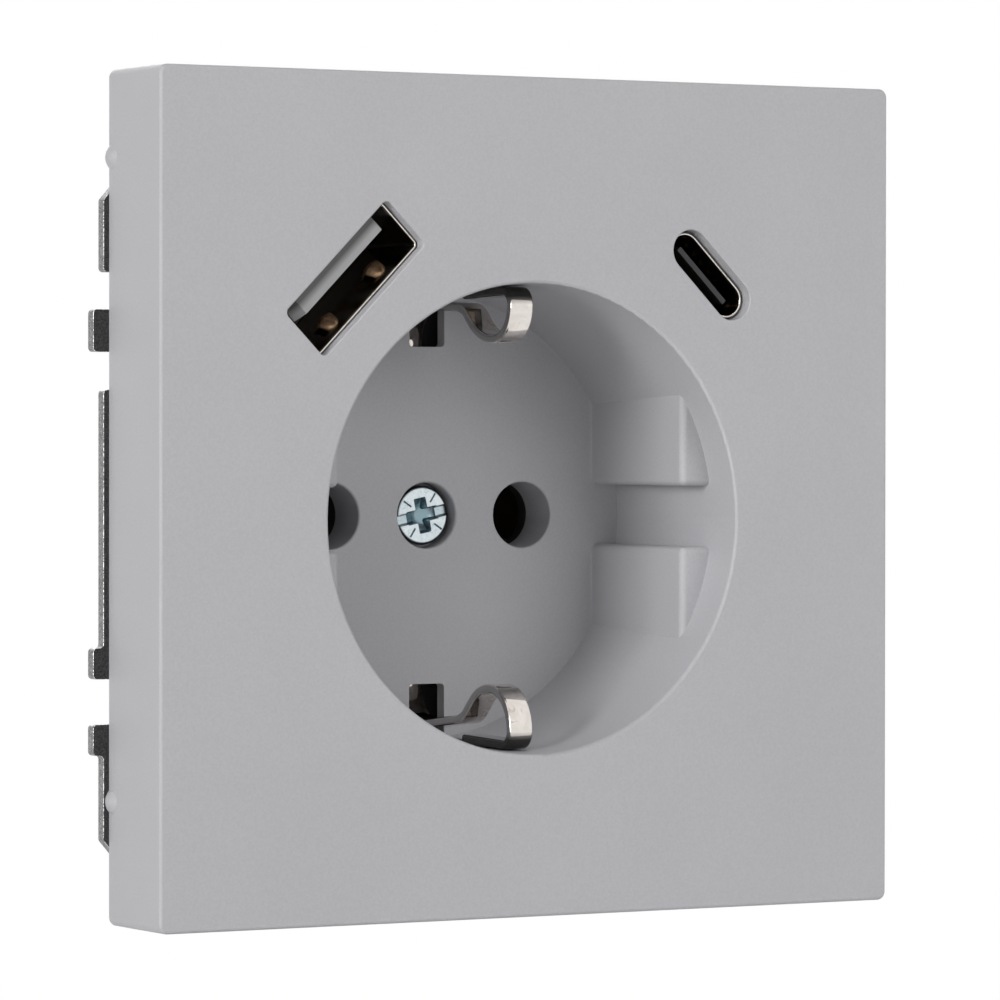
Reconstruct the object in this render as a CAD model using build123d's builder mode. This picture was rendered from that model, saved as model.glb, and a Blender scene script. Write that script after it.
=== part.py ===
"""Flush wall socket with an earthed round recess, one USB-A port and one USB-C port.

Frame: X to the right and Z up as seen from the room, +Y into the wall.
The origin is the centre of the box screw circle, on the rear face of the support frame.
All sizes are in millimetres.
"""
from build123d import *
from math import atan2, cos, radians, sin, tan
import os

os.makedirs("parts", exist_ok=True)

# Cover plate
plate = 70.0
plate_corner_r = 0.75
front_edge_r = 0.28
cover_depth = 9.3
face_t = 2.0
skirt_t = 1.8
bump_r = 1.0
bump_h = 0.44
bump_inset = 0.45
bump_heights = (27.8, -24.8)

# Round recess for the plug, its guide lugs and its floor
dish_drop = 1.8
dish_r = 19.65
dish_draft = 1.5
dish_depth = 18.8
dish_wall = 1.4
floor_t = 2.6
mouth_edge_r = 0.25
lug_x = 16.55
lug_set_back = 3.85
lug_edge_r = 0.55
key_w = 5.25
pin_pitch = 19.0
pin_hole_r = 2.85
rim_r = 0.2

# Centre screw and its nut
head_r = 2.55
head_t = 1.3
head_sink = 0.7
head_gap = 0.3
shank_r = 1.45
shank_gap = 0.25
thread_gap = 0.05
nut_side = 5.5
nut_t = 1.8
nut_gap = 0.15
drive_slot_w = 0.75
drive_slot_t = 0.6
drive_cross_l = 3.3
drive_cross_w = 0.95
drive_cross_t = 0.85

# Earth bow: one strip with a spring clip at each end
strip_w = 2.25
strip_t = 0.75
clip_front = 2.8
clip_corner_r = 1.15
clip_crest_inset = 4.95
clip_crest_run = 5.3
clip_shoulder_run = 2.75
clip_shoulder_inset = 2.2
clip_shoulder_r = 2.6
clip_foot_r = 3.4
clip_bend_gap = 0.05
clip_rise = 0.31
clip_leg_len = 7.8
clip_wall_gap = 0.15
arm_inset = 1.15
bow_gap = 0.1
bow_plate_w = 9.0
bow_plate_h = 20.0
bow_plate_r = 2.0
earth_slot_w = 3.45
earth_slot_depth = 4.64
earth_slot_corner_r = 0.35
slot_lip_t = 1.2
slot_pocket_gap = 1.0
wall_slot_len = 4.4

# USB ports in the cover plate
usb_recess = 1.05
port_edge_r = 0.12
port_gap = 0.2
usb_a_out = 6.526
usb_a_around = 130.856
usb_a_turn = 45.0
usb_a_mouth_l = 13.3
usb_a_mouth_w = 5.15
usb_a_l = 13.2
usb_a_w = 5.05
usb_a_wall = 0.2
usb_a_corner_r = 0.5
usb_a_tongue_l = 10.8
usb_a_tongue_t = 1.6
usb_a_tongue_off = 1.2
usb_a_tongue_back = 1.05
usb_a_tongue_cut = 0.9
usb_a_block_t = 3.0
usb_a_pin_w = 1.0
usb_a_pin_pitch = 2.3
usb_pin_t = 0.25
usb_a_spring_w = 1.45
usb_a_spring_t = 0.2
usb_a_spring_back = 1.4
usb_a_spring_rise_l = 1.3
usb_a_spring_fall_l = 1.4
usb_a_spring_dip = 0.75
usb_a_spring_bend_r = 0.6
usb_a_spring_pitch = 6.2
usb_c_out = 7.126
usb_c_around = 50.037
usb_c_turn = -45.0
usb_c_mouth_l = 9.3
usb_c_mouth_w = 3.5
usb_c_wall = 0.2
usb_c_tongue_l = 6.4
usb_c_tongue_t = 0.45
usb_c_tongue_back = 0.65
usb_c_block_t = 2.5
usb_c_pin_back = 3.0
usb_c_pin_w = 0.3
usb_c_pin_pitch = 1.0
usb_c_pins = 6

# USB board behind the ports
board_y = 2.4
board_t = 1.6
board_gap = 0.3
board_low = 12.0
wing_margin = 0.6
wing_wall = 1.0
wing_floor_t = 1.5

# Support frame, sheet steel
frame_t = 1.0
frame_side_proud = 0.5
frame_top_proud = 0.2
frame_cut_upper_w = 9.7
frame_cut_upper_h = 10.85
frame_cut_lower_w = 6.2
frame_cut_lower_h = 7.2
frame_corner_r = 0.35
tab_reach = 0.93
notch_depth = 2.5
left_tabs = ((15.41, 11.94), (-12.25, -14.8), (-18.5, -21.05))
left_notches = ((18.45, left_tabs[0][0]), (left_tabs[0][1], 8.85), (left_tabs[1][1], left_tabs[2][0]))
right_tabs = ((18.2, 15.6), (11.85, 9.2), (-14.95, -18.3))
right_notches = ((right_tabs[0][1], right_tabs[1][0]), (-12.0, right_tabs[2][0]), (right_tabs[2][1], -21.3))
box_screw_pcd = 60.0
box_screw_r = 2.0
window_l = 9.0
window_w = 2.6
window_from_side = 18.0
window_from_edge = 4.0

# Socket base
base_play = 2.1
base_wall = 1.5
base_gap = 0.3
flange_t = 2.0
flange_w = 1.8
ear_r = 2.4
ear_out = 2.9
ear_angles = (25.0, 155.0, 215.0, 325.0)
rivet_r = 1.0
rivet_head_r = 1.9
rivet_head_t = 0.7
rivet_gap = 0.05
mid_t = 2.6
chamber_len = 14.4
pin_path_r = 3.1
boss_r = 2.3
boss_sink = 0.5
pillar_r = 3.0

# Contacts and wire terminals
contact_t = 0.8
contact_w = 7.0
contact_gap = 0.3
blade_open = 3.3
blade_pinch = 2.6
blade_mouth_at = 0.6
blade_pinch_at = 3.0
blade_flat_at = 7.0
bus_z = -8.4
bus_start = 2.5
tab_w = 3.0
tab_top = 6.6
foot_l = 3.8
wire_r = 1.2
wire_hole_r = 1.5
wire_pitch = 4.2
wire_funnel = 0.4
chamber_gap = 0.3
rib_t = 1.4
shelf_z = -17.2
shelf_t = 1.1
rib_top = -6.8
spring_t = 0.5
spring_w = 6.2
spring_front = 4.0
spring_back = 11.7
spring_tip = 5.8
spring_bend_r = 1.2
spring_tip_gap = 0.1

# Release levers
lever_travel = 1.6
lever_w = 6.0
lever_low = -16.4
lever_high = -13.2
lever_proud = 0.8
lever_gap = 0.3
collar_gap = 0.1
collar_t = 1.2
collar_w = 0.5
finger_w = 5.0
finger_t = 1.0
finger_l = 2.85
grip_step = 0.7
grip_r = 0.22

# Rear block, its cover and its screws
block_side_gap = 1.4
block_corner_r = 8.6
rear_t = 2.0
rear_edge_r = 0.8
rear_screw_r = 0.95
rear_screw_l = 8.0
rear_head_r = 2.1
rear_head_t = 1.2
rear_hole_r = 1.25
vent_l = 9.0
vent_w = 1.2
vent_pitch = 2.6
vent_z = 12.5
vents = 6

# Power supply
power_board_low = 4.4
power_post_r = 1.3
power_post_sink = 0.2
power_post_z = 14.6
core_l = 13.0
core_h = 8.6
core_t = 7.0
coil_t = 2.0
core_x = -5.2
core_z = 10.6
core_leg = 2.2
winding_gap = 0.2
big_cap_r = 4.0
big_cap_l = 10.5
big_cap_x = 6.4
big_cap_z = 9.6
small_cap_r = 3.15
small_cap_l = 8.0
small_cap_x = 4.6
small_cap_z = 17.4
small_cap_top_gap = 1.15
cap_edge_r = 0.5
chip_l = 3.6
chip_h = 5.0
chip_t = 1.5
chip_x = 12.5
chip_z = 8.6
link_pin_w = 0.64
link_pitch = 2.0
link_pins = 4
link_x = -3.5
link_inset = 2.9
link_stub = 0.6
link_hole_gap = 0.3

# How near an edge lies to the place it is picked by
pick_tol = 0.05

# Planes along Y, from the room to the back of the box
cover_back = -frame_t
cover_front = cover_back - cover_depth
face_back = cover_front + face_t
floor_y = cover_front + dish_depth
floor_back = floor_y + floor_t
bow_front = floor_back + bow_gap
bow_back = bow_front + strip_t
mid_y = bow_back
mid_back = mid_y + mid_t
rear_inner = mid_back + chamber_len
rear_outer = rear_inner + rear_t
flange_front = cover_back - flange_t
board_back = board_y + board_t
port_front = cover_front + usb_recess
plate_y = rear_inner - contact_gap - contact_t / 2
power_back = plate_y - contact_t / 2
power_front = power_back - board_t

# Sizes that follow from the fits
frame_half = plate / 2 + frame_side_proud
frame_top = plate / 2 + frame_top_proud
window_x = frame_half - window_from_side
window_z = frame_top - window_from_edge
base_in_r = dish_r + dish_wall + base_play
base_r = base_in_r + base_wall
opening_r = base_r + base_gap
ear_circle_r = opening_r + ear_out
usb_a_x = (dish_r + usb_a_out) * cos(radians(usb_a_around))
usb_a_z = (dish_r + usb_a_out) * sin(radians(usb_a_around)) - dish_drop
usb_c_x = (dish_r + usb_c_out) * cos(radians(usb_c_around))
usb_c_z = (dish_r + usb_c_out) * sin(radians(usb_c_around)) - dish_drop
head_hole_r = head_r + head_gap
shank_hole_r = shank_r + shank_gap
usb_a_in_l = usb_a_l - 2 * usb_a_wall
usb_a_in_w = usb_a_w - 2 * usb_a_wall
usb_a_in_r = usb_a_corner_r - usb_a_wall / 2
usb_c_l = usb_c_mouth_l - 2 * port_gap
usb_c_w = usb_c_mouth_w - 2 * port_gap
usb_c_in_l = usb_c_l - 2 * usb_c_wall
usb_c_in_w = usb_c_w - 2 * usb_c_wall
wing_a = (usb_a_l + 2 * wing_margin, usb_a_w + 2 * wing_margin)
wing_c = (usb_c_l + 2 * wing_margin, wing_a[1])
chamber_w = contact_w + 2 * chamber_gap
block_in_w = pin_pitch + chamber_w + 2 * block_side_gap
block_w = block_in_w + 2 * base_wall
block_in_h = 2 * (small_cap_z + small_cap_r + small_cap_top_gap)
block_h = block_in_h + 2 * base_wall
block_in_corner_r = block_corner_r - base_wall
boss_reach = (block_in_corner_r + boss_sink - boss_r) / 2**0.5
boss_x = block_in_w / 2 - block_in_corner_r + boss_reach
boss_z = block_in_h / 2 - block_in_corner_r + boss_reach
power_post_x = block_in_w / 2 - power_post_r + power_post_sink
link_z = base_in_r - link_inset
wire_z = bus_z - contact_t / 2 - wire_r
terminal_xs = (-pin_pitch / 2, 0.0, pin_pitch / 2)
dish_axis = Axis((0, 0, -dish_drop), (0, 1, 0))


def facing(y):
    """Sketch plane at depth y, seen from the room: local x is X and local y is Z."""
    return Plane.XZ.offset(-y)


def dish_radius(depth):
    """Inner radius of the drafted recess at a depth behind the cover's front face."""
    return dish_r - depth * tan(radians(dish_draft))


def port(x, z, turn):
    """Place of a USB port in a sketch seen from the room."""
    return Location((x, z, 0), (0, 0, turn))


port_a = port(usb_a_x, usb_a_z, usb_a_turn)
port_c = port(usb_c_x, usb_c_z, usb_c_turn)
dish_clear_r = dish_radius(board_y - cover_front) + dish_wall + board_gap
rear_screw_places = ((0, -dish_drop), (-boss_x, boss_z), (boss_x, boss_z))
link_places = [(link_x + (i - (link_pins - 1) / 2) * link_pitch, link_z) for i in range(link_pins)]


def both_wings(grow):
    """Outlines round both ports, grown on every side."""
    with Locations(port_a):
        Rectangle(wing_a[0] + 2 * grow, wing_a[1] + 2 * grow)
    with Locations(port_c):
        Rectangle(wing_c[0] + 2 * grow, wing_c[1] + 2 * grow)


def cut_wings():
    """Pockets of both ports."""
    with Locations(port_a):
        Rectangle(*wing_a, mode=Mode.SUBTRACT)
    with Locations(port_c):
        Rectangle(*wing_c, mode=Mode.SUBTRACT)


def finish(builder, name):
    """Label a finished piece and write it."""
    builder.part.label = name
    export_step(builder.part, f"parts/{name}.step")


# Guide lugs at the sides of the recess, with the key groove between them
with BuildPart() as lugs:
    with BuildSketch(facing(floor_y)):
        with Locations((0, -dish_drop)):
            Circle(dish_radius(dish_depth) + dish_wall / 2)
            Rectangle(2 * lug_x, 3 * dish_r, mode=Mode.SUBTRACT)
            Rectangle(3 * dish_r, key_w, mode=Mode.SUBTRACT)
    extrude(amount=dish_depth - lug_set_back)
    lug_front_edges = lugs.faces().group_by(Axis.Y)[0].edges().filter_by(GeomType.LINE)
    lug_groove_edges = lugs.edges().filter_by(Axis.Y).filter_by_position(
        Axis.Z, -dish_drop - key_w / 2 - pick_tol, -dish_drop + key_w / 2 + pick_tol
    ).filter_by_position(Axis.X, -lug_x - pick_tol, lug_x + pick_tol)
    fillet(lug_front_edges + lug_groove_edges, lug_edge_r)

# Front cover: square plate with a skirt, the plug recess and the port openings
with BuildPart() as front_cover:
    with BuildSketch(facing(cover_back)):
        RectangleRounded(plate, plate, plate_corner_r)
    extrude(amount=cover_depth)
    fillet(front_cover.faces().sort_by(Axis.Y)[0].edges(), front_edge_r)
    bump_ball_r = (bump_r**2 + bump_h**2) / (2 * bump_h)
    bump_x = plate / 2 + bump_h - bump_ball_r
    with Locations(*[(s * bump_x, cover_back - bump_inset, z) for s in (-1, 1) for z in bump_heights]):
        Sphere(bump_ball_r)
    with BuildSketch(facing(cover_back)):
        Rectangle(2 * plate, 2 * plate)
    extrude(amount=-2 * bump_ball_r, mode=Mode.SUBTRACT)
    with BuildSketch(facing(cover_back)):
        Rectangle(plate - 2 * skirt_t, plate - 2 * skirt_t)
    extrude(amount=cover_depth - face_t, mode=Mode.SUBTRACT)
    with BuildSketch(Plane.XY.offset(-dish_drop)):
        with BuildLine():
            Polyline(
                (0, cover_front + face_t / 2),
                (dish_radius(face_t / 2) + dish_wall, cover_front + face_t / 2),
                (dish_radius(dish_depth + floor_t) + dish_wall, floor_back),
                (0, floor_back),
                close=True,
            )
        make_face()
    revolve(axis=dish_axis)
    with BuildSketch(Plane.XY.offset(-dish_drop)):
        with BuildLine():
            Polyline(
                (0, cover_front - face_t),
                (dish_radius(-face_t), cover_front - face_t),
                (dish_radius(dish_depth), floor_y),
                (0, floor_y),
                close=True,
            )
        make_face()
    revolve(axis=dish_axis, mode=Mode.SUBTRACT)
    mouth = front_cover.edges().filter_by(GeomType.CIRCLE).group_by(Axis.Y)[0]
    fillet(mouth.filter_by(lambda edge: edge.radius > dish_r / 2), mouth_edge_r)
    add(lugs.part)
    with BuildSketch(facing(floor_back)):
        with Locations((-pin_pitch / 2, -dish_drop), (pin_pitch / 2, -dish_drop)):
            Circle(pin_hole_r)
        with Locations((0, -dish_drop)):
            Circle(shank_hole_r)
    extrude(amount=floor_t, mode=Mode.SUBTRACT)
    with BuildSketch(facing(floor_y)):
        with Locations((0, -dish_drop)):
            Circle(head_hole_r)
    extrude(amount=-(head_sink + head_t), mode=Mode.SUBTRACT)
    floor_rims = front_cover.edges().filter_by(GeomType.CIRCLE).filter_by_position(
        Axis.Y, floor_y - pick_tol, floor_y + pick_tol
    )
    fillet(floor_rims.filter_by(lambda edge: edge.radius < dish_r / 4), rim_r)
    slot_in_r = dish_radius(dish_depth) - earth_slot_depth
    slot_out_r = dish_r + dish_wall + earth_slot_corner_r
    with BuildSketch(facing(floor_back)):
        with Locations(*[(0, s * (slot_in_r + slot_out_r) / 2 - dish_drop) for s in (-1, 1)]):
            RectangleRounded(earth_slot_w, slot_out_r - slot_in_r, earth_slot_corner_r)
    extrude(amount=floor_t + wall_slot_len, mode=Mode.SUBTRACT)
    with BuildSketch(facing(floor_back)):
        with Locations(*[(0, s * (slot_in_r + slot_out_r) / 2 - dish_drop) for s in (-1, 1)]):
            Rectangle(earth_slot_w + 2 * slot_pocket_gap, slot_out_r - slot_in_r + 2 * slot_pocket_gap)
        with Locations((0, -dish_drop)):
            Circle(dish_radius(dish_depth), mode=Mode.INTERSECT)
    extrude(amount=floor_t - slot_lip_t, mode=Mode.SUBTRACT)
    with BuildSketch(facing(face_back)):
        with Locations(port_a):
            RectangleRounded(usb_a_mouth_l, usb_a_mouth_w, usb_a_corner_r)
        with Locations(port_c):
            SlotOverall(usb_c_mouth_l, usb_c_mouth_w)
    extrude(amount=face_t, mode=Mode.SUBTRACT)
    port_rims = front_cover.faces().sort_by(Axis.Y)[0].inner_wires().filter_by(
        lambda wire: wire.length < dish_r * 3
    )
    fillet(port_rims.edges(), port_edge_r)
    with BuildSketch(facing(face_back)):
        with Locations(port_a):
            Rectangle(usb_a_l + 2 * port_gap, usb_a_w + 2 * port_gap)
    extrude(amount=face_t - usb_recess, mode=Mode.SUBTRACT)
finish(front_cover, "front_cover")

# Centre screw with a combined slot and cross drive
screw_end = mid_back + shank_r
with BuildPart() as centre_screw:
    with BuildSketch(facing(floor_y + head_sink + head_t)):
        with Locations((0, -dish_drop)):
            Circle(head_r)
    extrude(amount=head_t)
    fillet(centre_screw.faces().sort_by(Axis.Y)[0].edges(), rim_r)
    with BuildSketch(facing(screw_end)):
        with Locations((0, -dish_drop)):
            Circle(shank_r)
    extrude(amount=screw_end - floor_y - head_sink - head_t)
    with BuildSketch(facing(floor_y + head_sink)):
        with Locations((0, -dish_drop)):
            Rectangle(3 * head_r, drive_slot_w)
    extrude(amount=-drive_slot_t, mode=Mode.SUBTRACT)
    with BuildSketch(facing(floor_y + head_sink)):
        with Locations((0, -dish_drop)):
            Rectangle(drive_cross_l, drive_cross_w)
            Rectangle(drive_cross_w, drive_cross_l)
    extrude(amount=-drive_cross_t, mode=Mode.SUBTRACT)
finish(centre_screw, "centre_screw")

# Square nut held in the base
with BuildPart() as screw_nut:
    with BuildSketch(facing(bow_back)):
        with Locations((0, -dish_drop)):
            Rectangle(nut_side, nut_side)
            Circle(shank_r + thread_gap, mode=Mode.SUBTRACT)
    extrude(amount=-nut_t)
finish(screw_nut, "screw_nut")


def clip_path(side):
    """Corners and bend radii of one earth clip, from its free end to the bridge behind the floor."""

    def at(depth, radius):
        return (cover_front + depth, side * radius - dish_drop)

    def on_wall(depth):
        return dish_radius(depth) - clip_wall_gap - strip_t / 2

    crest = dish_r - clip_crest_inset + side * clip_rise
    crest_end = clip_front + clip_crest_run
    shoulder = crest_end + clip_shoulder_run
    shoulder_out = dish_r - clip_shoulder_inset + side * clip_rise
    nose_r = on_wall(clip_front) - crest - clip_corner_r - clip_bend_gap
    slope = atan2(shoulder_out - crest, clip_shoulder_run)
    crest_r = (clip_crest_run - nose_r - clip_bend_gap) / tan(slope / 2)
    corners = [
        at(clip_front + clip_leg_len, on_wall(clip_front + clip_leg_len)),
        at(clip_front, on_wall(clip_front)),
        at(clip_front, crest),
        at(crest_end, crest),
        at(shoulder, shoulder_out),
        at(dish_depth + floor_t + bow_gap + strip_t / 2, dish_radius(dish_depth) - arm_inset + strip_t / 2),
    ]
    return corners, [clip_corner_r, nose_r, crest_r, clip_shoulder_r, clip_foot_r]


upper_corners, upper_radii = clip_path(1)
lower_corners, lower_radii = clip_path(-1)

# Earth bow: upper clip, bridge behind the floor and lower clip in one strip
with BuildPart() as earth_bow:
    with BuildSketch(Plane.YZ):
        with BuildLine():
            FilletPolyline(
                *upper_corners, *reversed(lower_corners), radius=upper_radii + lower_radii[::-1]
            )
        trace(line_width=strip_t)
    extrude(amount=strip_w / 2, both=True)
    with BuildSketch(facing(bow_back)):
        with Locations((0, -dish_drop)):
            RectangleRounded(bow_plate_w, bow_plate_h, bow_plate_r)
    extrude(amount=strip_t)
    with BuildSketch(facing(bow_back)):
        with Locations((0, -dish_drop)):
            Circle(shank_r + thread_gap)
    extrude(amount=strip_t, mode=Mode.SUBTRACT)
finish(earth_bow, "earth_bow")

# Support frame: sheet steel with cut corners, side tabs and notches
with BuildPart() as support_frame:
    with BuildSketch(facing(0)):
        with BuildLine():
            Polyline(
                (-frame_half, frame_top - frame_cut_upper_h),
                (frame_cut_upper_w - frame_half, frame_top),
                (frame_half - frame_cut_upper_w, frame_top),
                (frame_half, frame_top - frame_cut_upper_h),
                (frame_half, frame_cut_lower_h - frame_top),
                (frame_half - frame_cut_lower_w, -frame_top),
                (frame_cut_lower_w - frame_half, -frame_top),
                (-frame_half, frame_cut_lower_h - frame_top),
                close=True,
            )
        make_face()
        for side, tabs, notches in ((-1, left_tabs, left_notches), (1, right_tabs, right_notches)):
            for high, low in notches:
                with Locations((side * frame_half, (high + low) / 2)):
                    Rectangle(2 * notch_depth, high - low, mode=Mode.SUBTRACT)
            for high, low in tabs:
                with Locations((side * (frame_half + tab_reach - notch_depth), (high + low) / 2)):
                    Rectangle(2 * notch_depth, high - low)
        Circle(opening_r, mode=Mode.SUBTRACT)
        with Locations(port_a):
            Rectangle(
                wing_a[0] + 2 * wing_wall + 2 * base_gap,
                wing_a[1] + 2 * wing_wall + 2 * base_gap,
                mode=Mode.SUBTRACT,
            )
        with Locations(port_c):
            Rectangle(
                wing_c[0] + 2 * wing_wall + 2 * base_gap,
                wing_c[1] + 2 * wing_wall + 2 * base_gap,
                mode=Mode.SUBTRACT,
            )
        with PolarLocations(box_screw_pcd / 2, 4):
            Circle(box_screw_r, mode=Mode.SUBTRACT)
        for angle in ear_angles:
            with PolarLocations(ear_circle_r, 1, start_angle=angle):
                Circle(rivet_r + rivet_gap, mode=Mode.SUBTRACT)
        with Locations(*[(sx * window_x, sz * window_z) for sx in (-1, 1) for sz in (-1, 1)]):
            RectangleRounded(window_l, window_w, window_w / 4, mode=Mode.SUBTRACT)
    extrude(amount=frame_t)
    side_edges = support_frame.edges().filter_by(Axis.Y).filter_by(
        lambda edge: abs(edge.center().X) > frame_half - pick_tol
    )
    fillet(side_edges, frame_corner_r)
finish(support_frame, "support_frame")

# Socket base: flange, port pockets, middle plate and terminal chambers
with BuildPart() as socket_base:
    with BuildSketch(facing(cover_back)):
        Circle(base_r + flange_w)
        both_wings(wing_wall + flange_w)
        for angle in ear_angles:
            with PolarLocations(ear_circle_r, 1, start_angle=angle):
                Circle(ear_r)
        Circle(base_in_r, mode=Mode.SUBTRACT)
        cut_wings()
        for angle in ear_angles:
            with PolarLocations(ear_circle_r, 1, start_angle=angle):
                Circle(rivet_r + rivet_gap, mode=Mode.SUBTRACT)
    extrude(amount=flange_t)
    with BuildSketch(facing(board_back)):
        Circle(base_r)
        both_wings(wing_wall)
        Circle(base_in_r, mode=Mode.SUBTRACT)
        cut_wings()
    extrude(amount=board_back - cover_back)
    with BuildSketch(facing(board_back)):
        Circle(base_r)
        Circle(base_in_r, mode=Mode.SUBTRACT)
        both_wings(wing_wall)
        with Locations((0, -dish_drop)):
            Circle(dish_clear_r, mode=Mode.SUBTRACT)
    extrude(amount=-wing_floor_t)
    with BuildSketch(facing(rear_inner)):
        RectangleRounded(block_w, block_h, block_corner_r)
        RectangleRounded(block_in_w, block_in_h, block_in_corner_r, mode=Mode.SUBTRACT)
        with Locations(*rear_screw_places[1:]):
            Circle(boss_r)
        with Locations(rear_screw_places[0]):
            Circle(pillar_r)
    extrude(amount=rear_inner - mid_back)
    with BuildSketch(facing(mid_back)):
        Circle(base_r)
    extrude(amount=mid_t)
    with BuildSketch(facing(mid_y)):
        Circle(base_r)
        Circle(base_in_r, mode=Mode.SUBTRACT)
    extrude(amount=mid_y - board_back - wing_floor_t)
    with BuildSketch(facing(mid_back)):
        with Locations((0, shelf_z - shelf_t / 2)):
            Rectangle(block_in_w, shelf_t)
        wall_h = rib_top - shelf_z + shelf_t
        wall_z = rib_top - wall_h / 2
        with Locations(*[(s * pin_pitch / 4, wall_z) for s in (-1, 1)]):
            Rectangle(rib_t, wall_h)
        with Locations(*[(s * power_post_x, power_post_z) for s in (-1, 1)]):
            Circle(power_post_r)
    extrude(amount=-(power_front - mid_back))
    with BuildSketch(facing(rear_inner)):
        with Locations(*rear_screw_places):
            Circle(rear_screw_r + rivet_gap)
    extrude(amount=rear_screw_l, mode=Mode.SUBTRACT)
    with BuildSketch(facing(screw_end + shank_gap)):
        with Locations((0, -dish_drop)):
            Circle(shank_hole_r)
    extrude(amount=screw_end + shank_gap - mid_y, mode=Mode.SUBTRACT)
    with BuildSketch(facing(mid_back)):
        with Locations((-pin_pitch / 2, -dish_drop), (pin_pitch / 2, -dish_drop)):
            Circle(pin_path_r)
        foot_mid = bus_z + (foot_l - contact_t / 2) / 2
        with Locations((0, foot_mid)):
            Rectangle(contact_w + 2 * chamber_gap, foot_l + contact_t / 2 + 2 * chamber_gap)
        with Locations(*link_places):
            Rectangle(link_pin_w + 2 * link_hole_gap, link_pin_w + 2 * link_hole_gap)
    extrude(amount=mid_t, mode=Mode.SUBTRACT)
    with BuildSketch(facing(mid_y)):
        with Locations((0, -dish_drop)):
            Rectangle(nut_side + 2 * nut_gap, nut_side + 2 * nut_gap)
    extrude(amount=-nut_t, mode=Mode.SUBTRACT)
finish(socket_base, "socket_base")

# Rivets that hold the base's flange to the frame
with BuildPart() as frame_rivets:
    for angle in ear_angles:
        with BuildSketch(facing(0)):
            with PolarLocations(ear_circle_r, 1, start_angle=angle):
                Circle(rivet_r)
        extrude(amount=frame_t + flange_t)
        with BuildSketch(facing(flange_front)):
            with PolarLocations(ear_circle_r, 1, start_angle=angle):
                Circle(rivet_head_r)
        extrude(amount=rivet_head_t)
finish(frame_rivets, "frame_rivets")

# Live and neutral contacts: a pair of blades, a wire bar and a solder tab for the power board
for side, name in ((-1, "contact_left"), (1, "contact_right")):
    blade_ys = (mid_back + blade_mouth_at, mid_back + blade_pinch_at, mid_back + blade_flat_at)
    with BuildPart() as contact:
        with BuildSketch(Plane.YZ.offset(side * pin_pitch / 2)):
            with BuildLine():
                FilletPolyline(
                    (blade_ys[0], blade_open - dish_drop),
                    (blade_ys[1], blade_pinch - dish_drop),
                    (blade_ys[2], blade_open - dish_drop),
                    (plate_y, blade_open - dish_drop),
                    (plate_y, bus_z),
                    (mid_back + bus_start, bus_z),
                    radius=[2 * contact_t, 2 * contact_t, contact_t, contact_t],
                )
            trace(line_width=contact_t)
            with BuildLine():
                FilletPolyline(
                    (blade_ys[0], -blade_open - dish_drop),
                    (blade_ys[1], -blade_pinch - dish_drop),
                    (blade_ys[2], -blade_open - dish_drop),
                    (plate_y, -blade_open - dish_drop),
                    radius=[2 * contact_t, 2 * contact_t],
                )
            trace(line_width=contact_t)
        extrude(amount=contact_w / 2, both=True)
        with BuildSketch(facing(plate_y + contact_t / 2)):
            with Locations((side * pin_pitch / 2, (tab_top - dish_drop) / 2)):
                Rectangle(tab_w, tab_top + dish_drop)
        extrude(amount=contact_t)
    finish(contact, name)

# Earth terminal: a foot on the bow's bridge and a wire bar behind it
with BuildPart() as earth_terminal:
    with BuildSketch(Plane.YZ):
        with BuildLine():
            FilletPolyline(
                (bow_back + contact_t / 2, bus_z + foot_l),
                (bow_back + contact_t / 2, bus_z),
                (plate_y, bus_z),
                radius=contact_t,
            )
        trace(line_width=contact_t)
    extrude(amount=contact_w / 2, both=True)
finish(earth_terminal, "earth_terminal")

# Clamp springs: a leg on the chamber's shelf and a leg that presses the wire on its bar
clamp_names = ("live_clamp_spring", "earth_clamp_spring", "neutral_clamp_spring")
for x, name in zip(terminal_xs, clamp_names):
    leg_z = shelf_z + spring_t / 2
    tip_z = bus_z - (contact_t + spring_t) / 2 - spring_tip_gap
    with BuildPart() as clamp_spring:
        with BuildSketch(Plane.YZ.offset(x)):
            with BuildLine():
                FilletPolyline(
                    (mid_back + spring_front, leg_z),
                    (mid_back + spring_back, leg_z),
                    (mid_back + spring_tip, tip_z),
                    radius=spring_bend_r,
                )
            trace(line_width=spring_t)
        extrude(amount=spring_w / 2, both=True)
    finish(clamp_spring, name)

# Release levers: a head through the rear cover, a collar behind it and a finger to the spring
lever_names = ("live_release_lever", "earth_release_lever", "neutral_release_lever")
lever_h = lever_high - lever_low
lever_z = (lever_high + lever_low) / 2
collar_back = rear_inner - collar_gap
for x, name in zip(terminal_xs, lever_names):
    with BuildPart() as lever:
        with BuildSketch(facing(rear_outer + lever_proud)):
            with Locations((x, lever_z)):
                Rectangle(lever_w, lever_h)
        extrude(amount=rear_outer + lever_proud - collar_back)
        fillet(lever.edges().filter_by(Axis.Y), rim_r)
        with BuildSketch(facing(collar_back)):
            with Locations((x, lever_z)):
                Rectangle(lever_w + 2 * collar_w, lever_h)
        extrude(amount=collar_t)
        with BuildSketch(facing(collar_back - collar_t)):
            with Locations((x, lever_high - finger_t / 2)):
                Rectangle(finger_w, finger_t)
        extrude(amount=finger_l)
        with BuildSketch(Plane.YZ.offset(x)):
            with Locations(*[(rear_outer + lever_proud, lever_z + i * grip_step) for i in (-1, 0, 1)]):
                Circle(grip_r)
        extrude(amount=lever_w, both=True, mode=Mode.SUBTRACT)
    finish(lever, name)

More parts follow.
